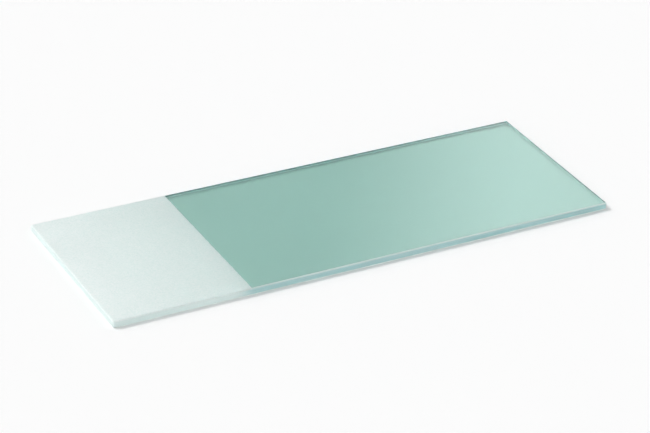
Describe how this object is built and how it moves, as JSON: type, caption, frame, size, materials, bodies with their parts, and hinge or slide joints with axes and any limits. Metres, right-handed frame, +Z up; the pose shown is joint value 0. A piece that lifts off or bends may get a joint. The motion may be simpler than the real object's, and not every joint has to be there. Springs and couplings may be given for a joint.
{
  "type": "microscope slide",
  "caption": "Clear rectangular glass slide with ground edges and a frosted marking end, to carry a specimen on a microscope stage.",
  "frame": {"origin": "centre of the underside, which lies on Z = 0", "axes": "+X along the slide from the frosted end to the clear end, +Y across the slide, +Z up out of the face that takes the specimen"},
  "size_m": [0.076, 0.026, 0.001],
  "materials": {
    "slide_glass": "polished faces with a pale blue-green cast, ground edges, and a blasted white panel at one end of the upper face"
  },
  "bodies": {
    "root": {"glass_slide": "slide_glass"}
  },
  "joints": []
}
